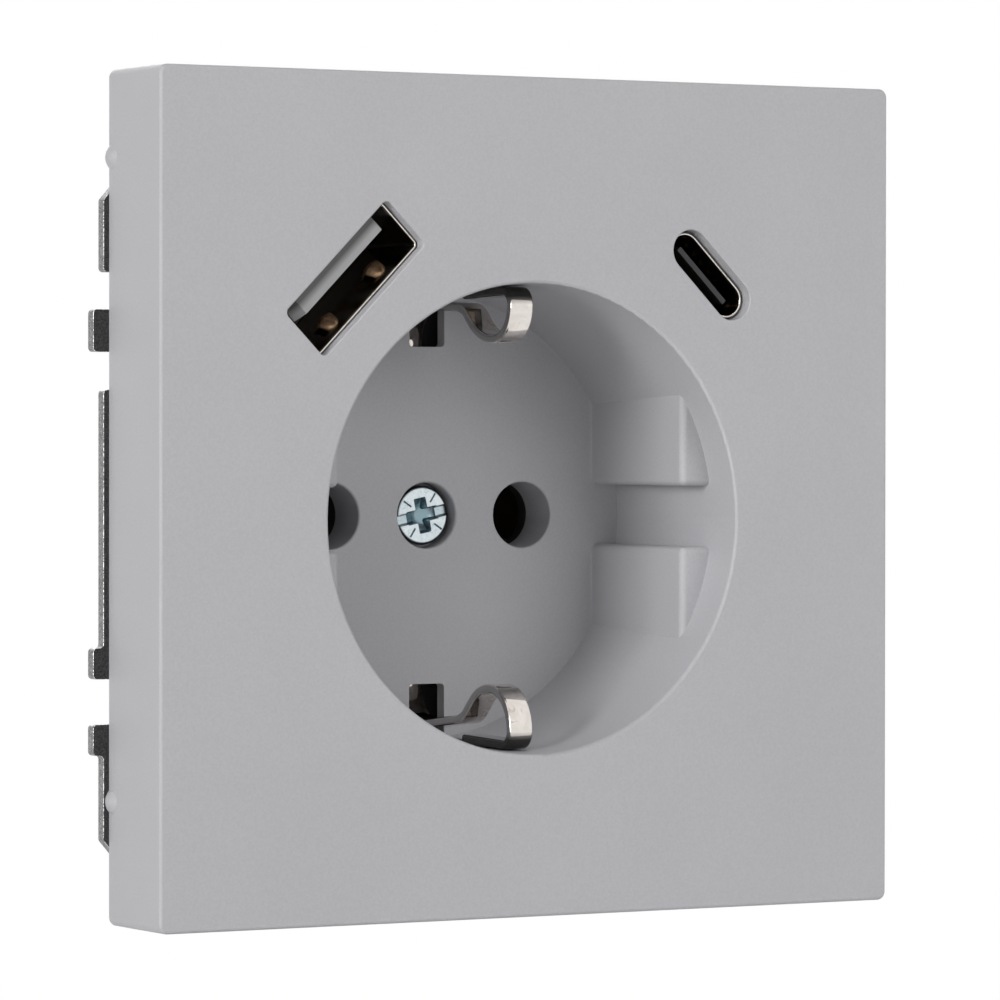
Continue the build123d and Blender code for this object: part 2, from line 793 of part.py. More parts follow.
# Rear cover with wire entries, lever windows, vents and screw holes
with BuildPart() as rear_cover:
    with BuildSketch(facing(rear_outer)):
        RectangleRounded(block_w, block_h, block_corner_r)
    extrude(amount=rear_t)
    fillet(rear_cover.faces().sort_by(Axis.Y)[-1].edges(), rear_edge_r)
    with BuildSketch(facing(rear_outer)):
        with Locations(*[(x, lever_z) for x in terminal_xs]):
            Rectangle(lever_w + 2 * lever_gap, lever_h + 2 * lever_gap)
        with Locations(*[((i - (vents - 1) / 2) * vent_pitch, vent_z) for i in range(vents)]):
            SlotOverall(vent_l, vent_w, rotation=90)
        with Locations(*rear_screw_places):
            Circle(rear_hole_r)
        with Locations(*[(x + s * wire_pitch / 2, wire_z) for x in terminal_xs for s in (-1, 1)]):
            Circle(wire_hole_r)
    extrude(amount=rear_t, mode=Mode.SUBTRACT)
    wire_rims = rear_cover.edges().filter_by(GeomType.CIRCLE).filter_by_position(
        Axis.Y, rear_outer - pick_tol, rear_outer + pick_tol
    )
    chamfer(wire_rims.filter_by(lambda edge: abs(edge.radius - wire_hole_r) < pick_tol), wire_funnel)
finish(rear_cover, "rear_cover")

# Screws that close the rear cover
with BuildPart() as rear_screws:
    with BuildSketch(facing(rear_outer)):
        with Locations(*rear_screw_places):
            Circle(rear_screw_r)
    extrude(amount=rear_screw_l)
    with BuildSketch(facing(rear_outer)):
        with Locations(*rear_screw_places):
            Circle(rear_head_r)
    extrude(amount=-rear_head_t)
    with BuildSketch(facing(rear_outer + rear_head_t)):
        with Locations(*rear_screw_places):
            Rectangle(rear_head_r, drive_slot_w)
            Rectangle(drive_slot_w, rear_head_r)
    extrude(amount=drive_slot_t, mode=Mode.SUBTRACT)
finish(rear_screws, "rear_screws")

# USB board: a crescent above the recess with a wing behind each port
with BuildPart() as usb_board:
    with BuildSketch(facing(board_back)):
        Circle(base_in_r - board_gap)
        with Locations((0, board_low - base_r)):
            Rectangle(3 * base_r, 2 * base_r, mode=Mode.SUBTRACT)
        both_wings(-board_gap)
        with Locations((0, -dish_drop)):
            Circle(dish_clear_r + board_gap, mode=Mode.SUBTRACT)
        with Locations(*link_places):
            Rectangle(link_pin_w + 2 * rivet_gap, link_pin_w + 2 * rivet_gap, mode=Mode.SUBTRACT)
    extrude(amount=board_t)
finish(usb_board, "usb_board")

# USB-A port: folded shell, insulator block, tongue, two springs and four contacts
port_len = board_y - port_front
a_plane = Plane(facing(board_y).location * port_a)
a_side = Plane(a_plane.origin, x_dir=-a_plane.z_dir, z_dir=a_plane.x_dir)
with BuildPart() as usb_a_shell:
    with BuildSketch(a_plane):
        RectangleRounded(usb_a_l, usb_a_w, usb_a_corner_r)
        RectangleRounded(usb_a_in_l, usb_a_in_w, usb_a_in_r, mode=Mode.SUBTRACT)
    extrude(amount=port_len)
finish(usb_a_shell, "usb_a_shell")

with BuildPart() as usb_a_insulator:
    with BuildSketch(a_plane):
        RectangleRounded(usb_a_in_l - 2 * rivet_gap, usb_a_in_w - 2 * rivet_gap, usb_a_in_r)
        with Locations((0, usb_a_tongue_off)):
            Rectangle(usb_a_tongue_l + 2 * rivet_gap, usb_a_tongue_t + 2 * rivet_gap, mode=Mode.SUBTRACT)
    extrude(amount=usb_a_block_t)
finish(usb_a_insulator, "usb_a_insulator")

with BuildPart() as usb_a_tongue:
    with BuildSketch(a_plane):
        with Locations((0, usb_a_tongue_off)):
            Rectangle(usb_a_tongue_l, usb_a_tongue_t)
    extrude(amount=port_len - usb_a_tongue_back)
    tongue_edges = usb_a_tongue.faces().sort_by(Axis.Y)[0].edges()
    chamfer(tongue_edges.sort_by(Axis(a_plane.origin, a_plane.x_dir))[0], usb_a_tongue_cut)
finish(usb_a_tongue, "usb_a_tongue")

spring_from = usb_a_spring_back - port_len
spring_wall = usb_a_spring_t / 2 - usb_a_in_w / 2
with BuildPart() as usb_a_springs:
    for s in (-1, 1):
        with BuildSketch(a_side.offset(s * usb_a_spring_pitch / 2)):
            with BuildLine():
                FilletPolyline(
                    (spring_from, spring_wall),
                    (spring_from + usb_a_spring_rise_l, spring_wall + usb_a_spring_dip),
                    (spring_from + usb_a_spring_rise_l + usb_a_spring_fall_l, spring_wall),
                    radius=usb_a_spring_bend_r,
                )
            trace(line_width=usb_a_spring_t)
            with Locations((0, (usb_a_spring_dip + usb_a_spring_t - usb_a_in_w) / 2)):
                Rectangle(2 * port_len, usb_a_spring_dip + usb_a_spring_t, mode=Mode.INTERSECT)
        extrude(amount=usb_a_spring_w / 2, both=True)
finish(usb_a_springs, "usb_a_springs")

with BuildPart() as usb_a_contacts:
    with BuildSketch(a_plane.offset(usb_a_block_t)):
        with Locations((0, usb_a_tongue_off - usb_a_tongue_t / 2 - usb_pin_t / 2)):
            with GridLocations(usb_a_pin_pitch, 0, 4, 1):
                Rectangle(usb_a_pin_w, usb_pin_t)
    extrude(amount=port_len - usb_a_tongue_back - usb_a_block_t - usb_a_pin_w)
finish(usb_a_contacts, "usb_a_contacts")

# USB-C port: drawn shell, insulator with a middle tongue, contacts on both faces
c_plane = Plane(facing(board_y).location * port_c)
with BuildPart() as usb_c_shell:
    with BuildSketch(c_plane):
        SlotOverall(usb_c_l, usb_c_w)
        SlotOverall(usb_c_in_l, usb_c_in_w, mode=Mode.SUBTRACT)
    extrude(amount=port_len)
finish(usb_c_shell, "usb_c_shell")

with BuildPart() as usb_c_tongue:
    with BuildSketch(c_plane):
        SlotOverall(usb_c_in_l - 2 * rivet_gap, usb_c_in_w - 2 * rivet_gap)
    extrude(amount=usb_c_block_t)
    with BuildSketch(c_plane):
        Rectangle(usb_c_tongue_l, usb_c_tongue_t)
    extrude(amount=port_len - usb_c_tongue_back)
finish(usb_c_tongue, "usb_c_tongue")

with BuildPart() as usb_c_contacts:
    with BuildSketch(c_plane.offset(usb_c_block_t)):
        with GridLocations(usb_c_pin_pitch, usb_c_tongue_t + usb_pin_t, usb_c_pins, 2):
            Rectangle(usb_c_pin_w, usb_pin_t)
    extrude(amount=port_len - usb_c_tongue_back - usb_c_pin_back - usb_c_block_t)
finish(usb_c_contacts, "usb_c_contacts")

# Power board near the rear cover
with BuildPart() as power_board:
    with BuildSketch(facing(power_back)):
        RectangleRounded(
            block_in_w - 2 * board_gap, block_in_h - 2 * board_gap, block_in_corner_r - board_gap
        )
        with Locations((0, power_board_low - base_r)):
            Rectangle(3 * base_r, 2 * base_r, mode=Mode.SUBTRACT)
        with Locations(*rear_screw_places[1:]):
            Circle(boss_r + board_gap, mode=Mode.SUBTRACT)
        with Locations(*link_places):
            Rectangle(link_pin_w + 2 * rivet_gap, link_pin_w + 2 * rivet_gap, mode=Mode.SUBTRACT)
    extrude(amount=board_t)
finish(power_board, "power_board")

# Transformer: a ferrite core with two windows and the winding on its middle leg
leg_gap = (core_l - 3 * core_leg) / 2
with BuildPart() as transformer_core:
    with BuildSketch(facing(power_front - coil_t)):
        with Locations((core_x, core_z)):
            Rectangle(core_l, core_h)
            with Locations((-(leg_gap + core_leg) / 2, 0), ((leg_gap + core_leg) / 2, 0)):
                Rectangle(leg_gap, core_h - 2 * core_leg, mode=Mode.SUBTRACT)
    extrude(amount=core_t)
finish(transformer_core, "transformer_core")

with BuildPart() as transformer_winding:
    with BuildSketch(facing(power_front)):
        with Locations((core_x, core_z)):
            Rectangle(core_leg + 2 * leg_gap - 2 * winding_gap, core_h - 2 * core_leg - 2 * winding_gap)
    extrude(amount=core_t + 2 * coil_t)
    with BuildSketch(facing(power_front - coil_t + winding_gap)):
        with Locations((core_x, core_z)):
            Rectangle(core_leg + 2 * winding_gap, core_h)
    extrude(amount=core_t + 2 * winding_gap, mode=Mode.SUBTRACT)
finish(transformer_winding, "transformer_winding")

# Capacitors and the control chip on the power board
for name, x, z, radius, length in (
    ("input_capacitor", big_cap_x, big_cap_z, big_cap_r, big_cap_l),
    ("output_capacitor", small_cap_x, small_cap_z, small_cap_r, small_cap_l),
):
    with BuildPart() as capacitor:
        with BuildSketch(facing(power_front)):
            with Locations((x, z)):
                Circle(radius)
        extrude(amount=length)
        fillet(capacitor.faces().sort_by(Axis.Y)[0].edges(), cap_edge_r)
    finish(capacitor, name)

with BuildPart() as control_chip:
    with BuildSketch(facing(power_front)):
        with Locations((chip_x, chip_z)):
            Rectangle(chip_l, chip_h)
    extrude(amount=chip_t)
finish(control_chip, "control_chip")

# Link pins between the power board and the USB board
with BuildPart() as board_link_pins:
    with BuildSketch(facing(power_back)):
        with Locations(*link_places):
            Rectangle(link_pin_w, link_pin_w)
    extrude(amount=power_back - board_y + link_stub)
finish(board_link_pins, "board_link_pins")
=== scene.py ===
from math import cos, pi, radians, sin
import bmesh
import bpy
import numpy as np
from mathutils import Matrix, Vector


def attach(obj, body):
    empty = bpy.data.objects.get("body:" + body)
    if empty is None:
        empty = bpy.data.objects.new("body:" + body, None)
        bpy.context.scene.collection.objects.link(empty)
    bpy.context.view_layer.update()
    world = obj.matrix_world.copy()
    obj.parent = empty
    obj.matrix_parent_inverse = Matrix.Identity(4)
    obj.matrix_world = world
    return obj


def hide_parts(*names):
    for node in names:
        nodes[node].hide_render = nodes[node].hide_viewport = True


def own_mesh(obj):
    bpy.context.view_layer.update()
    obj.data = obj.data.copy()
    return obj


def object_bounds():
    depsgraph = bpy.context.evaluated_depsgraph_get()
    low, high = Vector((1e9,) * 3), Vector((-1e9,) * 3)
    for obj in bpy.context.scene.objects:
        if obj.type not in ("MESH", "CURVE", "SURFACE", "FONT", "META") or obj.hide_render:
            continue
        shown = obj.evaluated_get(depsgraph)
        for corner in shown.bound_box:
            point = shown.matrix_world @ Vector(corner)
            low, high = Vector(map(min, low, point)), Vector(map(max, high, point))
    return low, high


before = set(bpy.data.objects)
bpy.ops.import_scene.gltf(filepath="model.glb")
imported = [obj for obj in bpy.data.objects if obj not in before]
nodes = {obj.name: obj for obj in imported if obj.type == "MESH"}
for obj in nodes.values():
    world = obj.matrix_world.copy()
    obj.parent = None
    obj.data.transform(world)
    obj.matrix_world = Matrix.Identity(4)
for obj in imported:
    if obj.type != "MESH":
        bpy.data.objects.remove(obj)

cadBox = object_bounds()
scene = bpy.context.scene
mm = 0.001
print("frame loaded:", len(nodes), "nodes")

# camera, found from the cover plate's corners in the photograph
cameraSettings = {
    "place": (-238.85, -419.62, 6.2),
    "yaw": 29.895,
    "pitch": -0.779,
    "roll": 0.068,
    "lens": 204.8,
    "sensor": 36.0,
    "clip": (0.01, 20.0),
}


def makeCamera(s):
    yaw, pitch, roll = (radians(s[k]) for k in ("yaw", "pitch", "roll"))
    ahead = Vector((sin(yaw) * cos(pitch), cos(yaw) * cos(pitch), sin(pitch)))
    side = ahead.cross(Vector((0, 0, 1))).normalized()
    top = side.cross(ahead)
    turned = side * cos(roll) + top * sin(roll)
    top = turned.cross(ahead)
    data = bpy.data.cameras.new("photoCamera")
    data.lens = s["lens"]
    data.sensor_width = s["sensor"]
    data.clip_start, data.clip_end = s["clip"]
    cam = bpy.data.objects.new("photoCamera", data)
    scene.collection.objects.link(cam)
    turn = Matrix((turned, top, -ahead)).transposed().to_4x4()
    cam.matrix_world = Matrix.Translation(Vector(s["place"]) * mm) @ turn
    scene.camera = cam


makeCamera(cameraSettings)
scene.view_settings.view_transform = "Standard"
print("camera set")


# shader helpers: what goes into a socket is a plain value or another node's output
def feed(tree, value, socket):
    if isinstance(value, bpy.types.NodeSocket):
        tree.links.new(value, socket)
    else:
        socket.default_value = value


def nodeIn(tree, kind, **values):
    node = tree.nodes.new(kind)
    for key, value in values.items():
        if key in node.inputs:
            feed(tree, value, node.inputs[key])
        else:
            setattr(node, key, value)
    return node


def startTree(owner, outKind):
    owner.use_nodes = True
    tree = owner.node_tree
    tree.nodes.clear()
    return tree, tree.nodes.new(outKind).inputs[0]


def startMaterial(name):
    mat = bpy.data.materials.new(name)
    tree, surface = startTree(mat, "ShaderNodeOutputMaterial")
    skin = tree.nodes.new("ShaderNodeBsdfPrincipled")
    tree.links.new(skin.outputs[0], surface)
    return mat, tree, skin


def startGroup(name, takes, gives):
    group = bpy.data.node_groups.new(name, "ShaderNodeTree")
    for label, kind in takes:
        group.interface.new_socket(name=label, in_out="INPUT", socket_type=kind)
    for label, kind in gives:
        group.interface.new_socket(name=label, in_out="OUTPUT", socket_type=kind)
    return group, group.nodes.new("NodeGroupInput").outputs, group.nodes.new("NodeGroupOutput").inputs


def mathIn(tree, operation, *values):
    node = nodeIn(tree, "ShaderNodeMath", operation=operation)
    for value, socket in zip(values, node.inputs):
        feed(tree, value, socket)
    return node.outputs[0]


def vectorIn(tree, operation, *values):
    node = nodeIn(tree, "ShaderNodeVectorMath", operation=operation)
    for value, socket in zip(values, node.inputs):
        feed(tree, value, socket)
    return node.outputs["Value" if operation in ("DOT_PRODUCT", "DISTANCE", "LENGTH") else "Vector"]


def mapRange(tree, value, old, new=(0.0, 1.0), shape="LINEAR"):
    node = nodeIn(tree, "ShaderNodeMapRange", interpolation_type=shape, Value=value)
    for label, amount in zip(("From Min", "From Max", "To Min", "To Max"), (*old, *new)):
        feed(tree, amount, node.inputs[label])
    return node.outputs["Result"]


def placeOf(tree, kind="Object"):
    return tree.nodes.new("ShaderNodeTexCoord").outputs[kind]


# a noise keeps near its middle, so these spans of it are spread over two tones and over the range of gloss
noiseSpans = {"tone": (0.35, 0.65), "gloss": (0.3, 0.7)}


def twoTones(tree, factor, low, high, span=noiseSpans["tone"]):
    ramp = nodeIn(tree, "ShaderNodeValToRGB", Fac=factor)
    for element, place, tone in zip(ramp.color_ramp.elements, span, (low, high)):
        element.position = place
        element.color = (*tone, 1)
    return ramp.outputs[0]


def mixTones(tree, factor, first, second, blend="MIX"):
    mix = nodeIn(tree, "ShaderNodeMix", data_type="RGBA", blend_type=blend)
    for index, value in ((0, factor), (6, first), (7, second)):
        feed(tree, (*value, 1) if isinstance(value, tuple) else value, mix.inputs[index])
    return mix.outputs[2]


def mixShaders(tree, factor, first, second):
    mix = tree.nodes.new("ShaderNodeMixShader")
    for value, socket in zip((factor, first.outputs[0], second.outputs[0]), mix.inputs):
        tree.links.new(value, socket)
    return mix.outputs[0]


# share of the way between two places along a direction, in millimetres
def depthShare(tree, way, near, far):
    return mapRange(tree, vectorIn(tree, "DOT_PRODUCT", placeOf(tree), way), (near * mm, far * mm))


# share of the way between two radii about an axis that runs into the wall, in millimetres
def radiusShare(tree, centre, near, far):
    flat = vectorIn(tree, "MULTIPLY", placeOf(tree), (1, 0, 1))
    away = vectorIn(tree, "DISTANCE", flat, (centre[0] * mm, 0, centre[1] * mm))
    return mapRange(tree, away, (near * mm, far * mm))


# share between two sizes of one part of the surface's direction
def facingShare(tree, axis, near, far):
    parts = nodeIn(tree, "ShaderNodeSeparateXYZ", Vector=placeOf(tree, "Normal"))
    return mapRange(tree, mathIn(tree, "ABSOLUTE", parts.outputs[axis]), (near, far))


def glossFrom(tree, factor, skin, span):
    tree.links.new(mapRange(tree, factor, noiseSpans["gloss"], span), skin.inputs["Roughness"])


def bumpFrom(tree, height, skin, strength, depth):
    bump = nodeIn(tree, "ShaderNodeBump", Strength=strength, Distance=depth, Height=height)
    tree.links.new(bump.outputs[0], skin.inputs["Normal"])


# light: a large and a small soft box at the left, level with the socket, fills at the front and above,
# and two more for the right side and the rear; every box is turned to the socket
lightSettings = {
    "room": 0.015,
    "roomTop": {"span": (0.92, 0.955), "dim": 0.04},
    "boxes": {
        "wideBox": {"place": (-1.15, -0.35, 0.05), "size": 0.7, "watts": 5.0},
        "keyBox": {"place": (-1.12, -0.40, 0.20), "size": 0.3, "watts": 4.5},
        "leftBox": {"place": (-0.95, -0.70, 0.25), "size": 0.7, "watts": 1.5},
        "frontBox": {"place": (0.35, -1.05, 0.35), "size": 0.7, "watts": 4.3, "mirrored": False},
        "topBox": {"place": (-0.20, -0.60, 1.10), "size": 0.6, "watts": 3.8, "mirrored": False},
        "sideBox": {"place": (1.15, 0.25, 0.30), "size": 0.7, "watts": 4.0},
        "rearBox": {"place": (0.35, 1.10, 0.60), "size": 0.9, "watts": 7.0},
    },
}


# room: white round about, for what the camera and the metals see, and dim overhead, above the lamps
def makeRoom(s):
    world = bpy.data.worlds.new("paleRoom")
    scene.world = world
    tree, surface = startTree(world, "ShaderNodeOutputWorld")
    height = nodeIn(tree, "ShaderNodeSeparateXYZ", Vector=placeOf(tree, "Generated")).outputs["Z"]
    tone = twoTones(tree, height, (1, 1, 1), (s["roomTop"]["dim"],) * 3, s["roomTop"]["span"])
    lit = nodeIn(tree, "ShaderNodeBackground", Color=(1, 1, 1, 1), Strength=s["room"])
    seen = nodeIn(tree, "ShaderNodeBackground", Color=tone, Strength=1.0)
    path = tree.nodes.new("ShaderNodeLightPath")
    either = mathIn(tree, "MAXIMUM", path.outputs["Is Camera Ray"], path.outputs["Is Glossy Ray"])
    anyOf = mathIn(tree, "MAXIMUM", either, path.outputs["Is Transmission Ray"])
    tree.links.new(mixShaders(tree, anyOf, lit, seen), surface)


def makeBoxLight(name, s):
    data = bpy.data.lights.new(name, "AREA")
    data.shape = "SQUARE"
    data.size = s["size"]
    data.energy = s["watts"]
    lamp = bpy.data.objects.new(name, data)
    scene.collection.objects.link(lamp)
    lamp.location = s["place"]
    lamp.visible_glossy = s.get("mirrored", True)
    lamp.rotation_euler = (-Vector(s["place"])).to_track_quat("-Z", "Y").to_euler()


makeRoom(lightSettings)
for name, s in lightSettings["boxes"].items():
    makeBoxLight(name, s)
print("light set")

# mould grain: fine noise for the texture of the tool, broad noise for slow tone changes
grainSettings = {"fine": {"Detail": 2.0, "Roughness": 0.6}, "broad": {"Detail": 3.0, "Roughness": 0.5}}


def makeMouldGrain(s):
    group, takes, gives = startGroup(
        "mouldGrain",
        [("Place", "NodeSocketVector"), ("Fine", "NodeSocketFloat"), ("Broad", "NodeSocketFloat")],
        [("Height", "NodeSocketFloat"), ("Tone", "NodeSocketFloat")],
    )
    fine = nodeIn(group, "ShaderNodeTexNoise", Vector=takes["Place"], Scale=takes["Fine"], **s["fine"])
    broad = nodeIn(group, "ShaderNodeTexNoise", Vector=takes["Place"], Scale=takes["Broad"], **s["broad"])
    group.links.new(fine.outputs["Fac"], gives["Height"])
    group.links.new(broad.outputs["Fac"], gives["Tone"])
    return group


# handling marks: the level lines of a twisted noise, kept only in patches, and a haze of soft smudges
marksSettings = {
    "swirl": {"Scale": 1.0, "Detail": 2.0, "Roughness": 0.5, "Distortion": 1.2},
    "patch": {"Scale": 0.45, "Detail": 1.0},
    "haze": {"Scale": 0.8, "Detail": 4.0, "Roughness": 0.62, "Distortion": 0.8},
    "level": 0.5,
    "patchSpan": (0.45, 0.60),
}


def makeHandlingMarks(s):
    group, takes, gives = startGroup(
        "handlingMarks",
        [("Place", "NodeSocketVector"), ("Stretch", "NodeSocketVector"), ("Width", "NodeSocketFloat")],
        [("Mask", "NodeSocketFloat"), ("Haze", "NodeSocketFloat")],
    )
    spread = vectorIn(group, "MULTIPLY", takes["Place"], takes["Stretch"])
    swirl, patch, haze = (
        nodeIn(group, "ShaderNodeTexNoise", Vector=spread, **s[key]).outputs["Fac"]
        for key in ("swirl", "patch", "haze")
    )
    far = mathIn(group, "ABSOLUTE", mathIn(group, "SUBTRACT", swirl, s["level"]))
    line = mapRange(group, far, (0.0, takes["Width"]), (1.0, 0.0), "SMOOTHSTEP")
    where = mapRange(group, patch, s["patchSpan"], shape="SMOOTHSTEP")
    group.links.new(mathIn(group, "MULTIPLY", line, where), gives["Mask"])
    group.links.new(haze, gives["Haze"])
    return group


mouldGrain = makeMouldGrain(grainSettings)
handlingMarks = makeHandlingMarks(marksSettings)


def useGroup(tree, group, **values):
    node = nodeIn(tree, "ShaderNodeGroup", node_tree=group)
    for key, value in values.items():
        node.inputs[key].default_value = value
    tree.links.new(placeOf(tree), node.inputs["Place"])
    return node


# moulded plastics: colour, tone drift, gloss and grain, with a painted shade further along a direction
plasticShared = {"drift": 70.0, "bumpDepth": 0.04 * mm, "specular": 0.42}
plasticSettings = {
    "coverGrey": {
        "low": (0.475, 0.472, 0.491), "high": (0.487, 0.484, 0.503), "rough": (0.50, 0.56),
        "grain": 5200.0, "bump": 0.10, "speckle": 0.035,
    },
    "baseBlack": {
        "low": (0.030, 0.030, 0.032), "high": (0.042, 0.042, 0.044), "rough": (0.48, 0.58),
        "grain": 2600.0, "bump": 0.25,
    },
    "leverOrange": {
        "low": (0.62, 0.20, 0.03), "high": (0.70, 0.25, 0.045), "rough": (0.42, 0.50),
        "grain": 3200.0, "bump": 0.15,
    },
    # portGrey's shade is a painted shadow: the USB-A tongue turns darker towards its upper-left edge, where
    # the shell's lip shades it
    "portGrey": {
        "low": (0.48, 0.48, 0.49), "high": (0.56, 0.56, 0.57), "rough": (0.45, 0.55),
        "grain": 4200.0, "bump": 0.15, "shade": ((-0.7071, 0, 0.7071), 25.70, 26.35, (0.11, 0.11, 0.11)),
    },
    "portBlack": {
        "low": (0.040, 0.036, 0.031), "high": (0.070, 0.063, 0.054), "rough": (0.50, 0.60),
        "grain": 4200.0, "bump": 0.15,
    },
    # tongueDark's shade is painted shade: the tongue turns darker deeper inside the USB-C port
    "tongueDark": {
        "low": (0.042, 0.042, 0.045), "high": (0.058, 0.058, 0.062), "rough": (0.45, 0.55),
        "grain": 4200.0, "bump": 0.15, "shade": ((0, 1, 0), -8.55, -8.40, (0.015, 0.015, 0.015)),
    },
    "ferriteDark": {
        "low": (0.045, 0.045, 0.050), "high": (0.075, 0.075, 0.080), "rough": (0.60, 0.72),
        "grain": 1500.0, "bump": 0.35,
    },
    "windingTape": {
        "low": (0.62, 0.47, 0.08), "high": (0.74, 0.58, 0.12), "rough": (0.28, 0.38),
        "grain": 900.0, "bump": 0.20,
    },
    "sleeveBlue": {
        "low": (0.030, 0.035, 0.060), "high": (0.045, 0.052, 0.085), "rough": (0.25, 0.35),
        "grain": 1200.0, "bump": 0.15,
    },
    "boardGreen": {
        "low": (0.020, 0.130, 0.055), "high": (0.035, 0.180, 0.080), "rough": (0.28, 0.36),
        "grain": 700.0, "bump": 0.20,
    },
}


def makePlastic(name, s, shared):
    mat, tree, skin = startMaterial(name)
    grain = useGroup(tree, mouldGrain, Fine=s["grain"], Broad=shared["drift"])
    tone = twoTones(tree, grain.outputs["Tone"], s["low"], s["high"])
    if "speckle" in s:
        dark, pale = (1 - s["speckle"],) * 3, (1 + s["speckle"],) * 3
        tone = mixTones(tree, 1.0, tone, twoTones(tree, grain.outputs["Height"], dark, pale), "MULTIPLY")
    # painted shade: the tone turns darker along a direction
    if "shade" in s:
        way, near, far, shadeTone = s["shade"]
        tone = mixTones(tree, depthShare(tree, way, near, far), tone, shadeTone)
    tree.links.new(tone, skin.inputs["Base Color"])
    glossFrom(tree, grain.outputs["Height"], skin, s["rough"])
    bumpFrom(tree, grain.outputs["Height"], skin, s["bump"], shared["bumpDepth"])
    skin.inputs["Specular IOR Level"].default_value = shared["specular"]
    return mat


# plated and rolled metals: colour, gloss and thin handling marks, with duller tones for cut edges, and
# painted shade deep inside a hollow and out at the rim
metalShared = {"bump": 0.10, "bumpDepth": 0.02 * mm, "cutSpan": (0.70, 0.97)}
metalSettings = {
    # nickelClip's rim is painted shade: the clip's legs turn dark out along the recess wall
    "nickelClip": {
        "low": (0.70, 0.655, 0.61), "high": (0.80, 0.755, 0.71), "mark": (0.56, 0.51, 0.46),
        "rough": (0.04, 0.12), "stretch": (800.0, 800.0, 800.0), "width": 0.09,
        "rim": ((0.0, -1.8), 17.9, 18.6, (0.09, 0.085, 0.08)), "cut": (0.50, 0.49, 0.48),
    },
    "plainNickel": {
        "low": (0.70, 0.655, 0.61), "high": (0.80, 0.755, 0.71), "mark": (0.56, 0.51, 0.46),
        "rough": (0.08, 0.18), "stretch": (800.0, 800.0, 800.0), "width": 0.05,
    },
    # portNickel's deep is painted shade: the shells turn darker deeper inside the ports
    "portNickel": {
        "low": (0.70, 0.66, 0.61), "high": (0.82, 0.78, 0.73), "mark": (0.45, 0.42, 0.38),
        "rough": (0.14, 0.24), "stretch": (900.0, 700.0, 700.0), "width": 0.03,
        "deep": (-9.05, -8.75, (0.20, 0.185, 0.165)),
    },
    "zincBlue": {
        "low": (0.60, 0.67, 0.70), "high": (0.74, 0.80, 0.82), "mark": (0.42, 0.50, 0.54),
        "rough": (0.18, 0.30), "stretch": (2500.0, 900.0, 900.0), "width": 0.03,
    },
    # screwZinc's deep is painted shade in the drive recess, and its rim a painted dark ring of shade at the
    # head's rounded edge
    "screwZinc": {
        "low": (0.58, 0.65, 0.68), "high": (0.70, 0.76, 0.78), "mark": (0.46, 0.54, 0.58),
        "rough": (0.16, 0.28), "stretch": (1500.0, 1500.0, 1500.0), "width": 0.03,
        "deep": (9.30, 10.05, (0.24, 0.34, 0.38)), "rim": ((0.0, -1.8), 2.28, 2.48, (0.05, 0.06, 0.065)),
    },
    "springBronze": {
        "low": (0.46, 0.28, 0.13), "high": (0.60, 0.38, 0.19), "mark": (0.33, 0.19, 0.09),
        "rough": (0.26, 0.40), "stretch": (700.0, 700.0, 5000.0), "width": 0.03,
    },
    "springBrown": {
        "low": (0.22, 0.145, 0.088), "high": (0.42, 0.285, 0.18), "mark": (0.16, 0.105, 0.065),
        "rough": (0.42, 0.58), "stretch": (1800.0, 900.0, 1800.0), "width": 0.03,
    },
    "rolledSteel": {
        "low": (0.40, 0.40, 0.41), "high": (0.54, 0.54, 0.55), "mark": (0.28, 0.28, 0.29),
        "rough": (0.26, 0.38), "stretch": (600.0, 5000.0, 600.0), "width": 0.03,
    },
}


def makeMetal(name, s, shared):
    mat, tree, skin = startMaterial(name)
    marks = useGroup(tree, handlingMarks, Stretch=s["stretch"], Width=s["width"])
    tone = twoTones(tree, marks.outputs["Haze"], s["low"], s["high"])
    tone = mixTones(tree, marks.outputs["Mask"], tone, s["mark"])
    if "cut" in s:
        tone = mixTones(tree, facingShare(tree, "X", *shared["cutSpan"]), tone, s["cut"])
    # painted shade: darker tones deep inside a hollow and out at the rim
    if "deep" in s:
        near, far, shadeTone = s["deep"]
        tone = mixTones(tree, depthShare(tree, (0, 1, 0), near, far), tone, shadeTone)
    if "rim" in s:
        centre, near, far, shadeTone = s["rim"]
        tone = mixTones(tree, radiusShare(tree, centre, near, far), tone, shadeTone)
    tree.links.new(tone, skin.inputs["Base Color"])
    glossFrom(tree, marks.outputs["Haze"], skin, s["rough"])
    bumpFrom(tree, marks.outputs["Haze"], skin, shared["bump"], shared["bumpDepth"])
    skin.inputs["Metallic"].default_value = 1.0
    return mat


# galvanised sheet: dark mottled faces, and where the surface turns away from them a burred band of bright
# dashes, a painted glint, and paler cut edges
sheetSettings = {
    "face": ((0.040, 0.040, 0.040), (0.092, 0.092, 0.092)),
    "edge": ((0.12, 0.12, 0.12), (0.36, 0.36, 0.36)),
    "burrGlint": ((0.16, 0.16, 0.16), (0.95, 0.95, 0.95)),
    "burrGlintBreaks": (0.47, 0.53),
    "burrGlintSpan": (0.15, 0.35),
    "faceSpan": (0.90, 0.99),
    "rough": (0.34, 0.52),
    "mottle": 6800.0,
    "drift": 1400.0,
    "bump": 0.35,
    "bumpDepth": 0.06 * mm,
    "metallic": 0.85,
}


